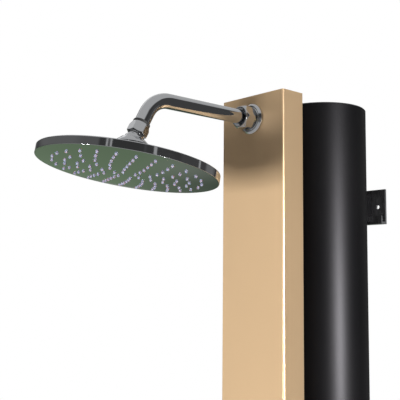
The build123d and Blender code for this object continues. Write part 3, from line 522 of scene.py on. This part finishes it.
def make_union():
    """The round flange on the column and the union nut in front of it."""
    gasket_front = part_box("wall_flange")[1].y
    place = stand(Vector((0, gasket_front, ARM_HEIGHT)), (0, -1, 0))
    flange = rounded([
        (13.5, 0, 0), (24.0, 0, 0.2), (24.0, 2.2, 0.9), (20.8, 5.4, 0.9), (19.9, 5.4, 0.4), (19.4, 4.2, 0.4),
        (18.4, 4.2, 0.4), (17.8, 4.9, 0.3), (13.5, 4.9, 0),
    ])
    make_piece("round_flange", [turned(flange, place, 192)], "column", "chrome", "wall_flange")
    back = (gasket_front - COLUMN_FRONT) / MM
    nut = rounded([
        (13.5, 5.0, 0), (16.4, 5.0, 0.3), (16.4, 8.4, 0.3), (18.3, 8.9, 0.4), (19.0, 9.8, 0.4), (19.0, 22.0, 0.6),
        (16.2, 24.4, 0.3), (16.2, 26.2, 1.0), (14.2, 26.2, 1.0), (14.2, 20.5, 0.2),
        (11.15, 20.5, 0), (11.15, 15.5, 0), (13.5, 15.5, 0),
    ])
    place = place @ Matrix.Translation((0, 0, -back * MM))
    make_piece("arm_union", [turned(finer(nut), place, 192, 33.0)], "column", "chrome", "arm_nut")


make_arm()
make_swivel()
make_seats()
make_collar()
make_head()
make_nozzles()
make_union()


# Floor, light and camera

def make_floor():
    size = 2.2
    drop = 0.002
    low = cad_low.z - drop
    mesh = bpy.data.meshes.new("floor")
    corners = [(-size, -size, low), (size, -size, low), (size, size, low), (-size, size, low)]
    mesh.from_pydata(corners, [], [(0, 1, 2, 3)])
    floor = bpy.data.objects.new("floor", mesh)
    bpy.context.scene.collection.objects.link(floor)
    s = Shader("floor_paint")
    grain = s.noise(40, 3.0)
    s.colour(s.blend(s.spread(grain, 0.0, 1.0), (0.80, 0.80, 0.79), (0.84, 0.84, 0.83)))
    s.roughness(s.spread(grain, 0.7, 0.8))
    mesh.materials.append(s.material)
    floor.visible_glossy = False


class Sky:
    """The soft studio surroundings: white to the camera, panels and dark walls in reflections.

    Headings are in degrees from +X towards +Y, heights in degrees above the horizon.
    """

    def __init__(self):
        self.world = bpy.data.worlds.new("studio")
        bpy.context.scene.world = self.world
        self.world.use_nodes = True
        self.tree = self.world.node_tree
        self.tree.nodes.clear()
        parts = self.add("ShaderNodeSeparateXYZ")
        self.tree.links.new(self.add("ShaderNodeTexCoord").outputs["Generated"], parts.inputs[0])
        turn = self.maths("ARCTAN2", parts.outputs["Y"], parts.outputs["X"])
        self.heading = self.maths("DEGREES", turn)
        self.height = self.maths("DEGREES", self.maths("ARCSINE", parts.outputs["Z"]))

    def add(self, kind, **settings):
        node = self.tree.nodes.new(kind)
        for key, value in settings.items():
            setattr(node, key, value)
        return node

    def maths(self, operation, *values):
        node = self.add("ShaderNodeMath", operation=operation)
        for socket, value in zip(node.inputs, values):
            if isinstance(value, bpy.types.NodeSocket):
                self.tree.links.new(value, socket)
            else:
                socket.default_value = value
        return node.outputs[0]

    def ramp(self, source, start, end):
        """Rises smoothly from 0 to 1 as source goes from start to end, or falls if end is lower."""
        node = self.add("ShaderNodeMapRange", interpolation_type="SMOOTHSTEP")
        node.inputs["From Min"].default_value = start
        node.inputs["From Max"].default_value = end
        self.tree.links.new(source, node.inputs["Value"])
        return node.outputs["Result"]

    def offset(self, centre):
        """Degrees between a direction and a heading, from -180 to 180."""
        return self.maths("WRAP", self.maths("SUBTRACT", self.heading, centre), 180.0, -180.0)

    def sector(self, start, end, soft):
        """1 between two headings, counted towards +Y, and 0 outside them."""
        centre = (start + end) / 2
        half = (end - start) / 2
        away = self.maths("ABSOLUTE", self.offset(centre))
        return self.ramp(away, half + soft / 2, half - soft / 2)

    def layer(self, low, high, soft, height=None):
        height = height or self.height
        above = self.ramp(height, low - soft / 2, low + soft / 2)
        below = self.ramp(height, high + soft / 2, high - soft / 2)
        return self.maths("MULTIPLY", above, below)

    def blend(self, factor, first, second):
        node = self.add("ShaderNodeMix", data_type="RGBA")
        colours = [s for s in node.inputs if s.type == "RGBA"]
        for socket, value in zip(colours, (first, second)):
            if isinstance(value, bpy.types.NodeSocket):
                self.tree.links.new(value, socket)
            else:
                socket.default_value = (*value, 1)
        self.tree.links.new(factor, node.inputs[0])
        return next(s for s in node.outputs if s.type == "RGBA")

    def panel(self, behind, colour, headings, heights, soft=(8.0, 3.0)):
        mask = self.maths("MULTIPLY", self.sector(*headings, soft[0]), self.layer(*heights, soft[1]))
        return self.blend(mask, behind, colour)

    def finish(self, reflected, soft, shown):
        path = self.add("ShaderNodeLightPath")
        light = self.blend(path.outputs["Is Glossy Ray"], soft, reflected)
        seen = self.blend(path.outputs["Is Camera Ray"], light, shown)
        background = self.add("ShaderNodeBackground")
        output = self.add("ShaderNodeOutputWorld")
        self.tree.links.new(seen, background.inputs["Color"])
        self.tree.links.new(background.outputs["Background"], output.inputs["Surface"])


def grey(value, warmth=0.0):
    return (value * (1 + warmth), value, value * (1 - warmth))


def make_sky():
    sky = Sky()
    walls = sky.blend(sky.ramp(sky.height, 30, 38), grey(0.13), grey(0.57))
    walls = sky.blend(sky.ramp(sky.height, -14, -24), walls, grey(0.46))
    walls = sky.panel(walls, grey(0.16), (-190, -100), (15, 35), (20, 6))
    walls = sky.panel(walls, grey(0.03), (-190, -100), (-16, 15), (20, 6))
    walls = sky.panel(walls, grey(0.055), (-17, 33), (-5, 30), (8, 8))
    walls = sky.panel(walls, grey(1.05), (128, 190), (33, 48), (10, 4))
    walls = sky.panel(walls, grey(0.055), (-72, -63), (-10, 30), (4, 6))
    walls = sky.panel(walls, grey(0.05), (-56, -17), (8, 28), (3, 6))
    walls = sky.panel(walls, grey(0.20), (68, 90), (-10, 30), (8, 6))
    walls = sky.panel(walls, grey(0.57), (95, 140), (18, 90), (14, 8))
    walls = sky.panel(walls, grey(1.0), (121, 159), (-2, 18), (8, 6))
    walls = sky.panel(walls, grey(0.075), (30, 72), (-50, 37), (6, 3))
    walls = sky.panel(walls, (0.17, 0.235, 0.155), (141, 185), (-55, -3), (16, 6))
    walls = sky.panel(walls, (0.055, 0.08, 0.055), (110, 141), (-55, -3), (16, 6))
    for start, end in ((-63, -60.8), (-58, -55.8), (-6, -2.2), (57.5, 60.5)):
        walls = sky.panel(walls, grey(0.45), (start, end), (-5, 45), (1.0, 6))
    ambient = sky.blend(sky.ramp(sky.height, 25, 55), grey(0.05), grey(0.85))
    sky.finish(walls, ambient, (1.0, 1.0, 1.0))


def area_light(name, place, aim, size, power, diffuse=True, glossy=True):
    data = bpy.data.lights.new(name, "AREA")
    data.shape = "RECTANGLE"
    data.size, data.size_y = size
    data.energy = power
    light = bpy.data.objects.new(name, data)
    light.location = place
    light.rotation_euler = (Vector(aim) - Vector(place)).to_track_quat("-Z", "Y").to_euler()
    light.visible_camera = False
    light.visible_diffuse = diffuse
    light.visible_glossy = glossy
    bpy.context.scene.collection.objects.link(light)
    return light


def make_lights():
    area_light("front_light", (0.03, -1.76, -0.37), (0.0, -0.262, 0.06), (0.42, 0.52), 51.0, glossy=False)
    area_light("side_light", (2.6, -0.42, -0.40), (0.0, -0.1, -0.1), (0.5, 0.9), 66.0, glossy=False)
    area_light("tank_strip", (2.6, -0.42, -0.40), (0.0, -0.1, -0.1), (0.20, 0.8), 150.0, diffuse=False)
    area_light("nozzle_spark", (-0.05, -1.60, -0.45), (0.0, -0.49, 0.02), (0.16, 0.16), 4.0, diffuse=False)


def make_camera():
    a, rise, roll = CAMERA_TURN, CAMERA_RISE, CAMERA_ROLL
    forward = Vector((-math.sin(a) * math.cos(rise), math.cos(a) * math.cos(rise), math.sin(rise)))
    level = Vector((math.cos(a), math.sin(a), 0))
    upward = level.cross(forward)
    right = level * math.cos(roll) + upward * math.sin(roll)
    top = upward * math.cos(roll) - level * math.sin(roll)
    data = bpy.data.cameras.new("photo_camera")
    data.sensor_width = SENSOR
    data.lens = SENSOR * FOCAL_PIXELS / IMAGE_SIZE
    data.clip_start = 0.01
    camera = bpy.data.objects.new("photo_camera", data)
    turn = Matrix((right, top, -forward)).transposed().to_4x4()
    camera.matrix_world = Matrix.Translation(CAMERA_PLACE) @ turn
    bpy.context.scene.collection.objects.link(camera)
    bpy.context.scene.camera = camera


make_floor()
make_sky()
make_lights()
make_camera()
bpy.context.scene.view_settings.view_transform = "Standard"
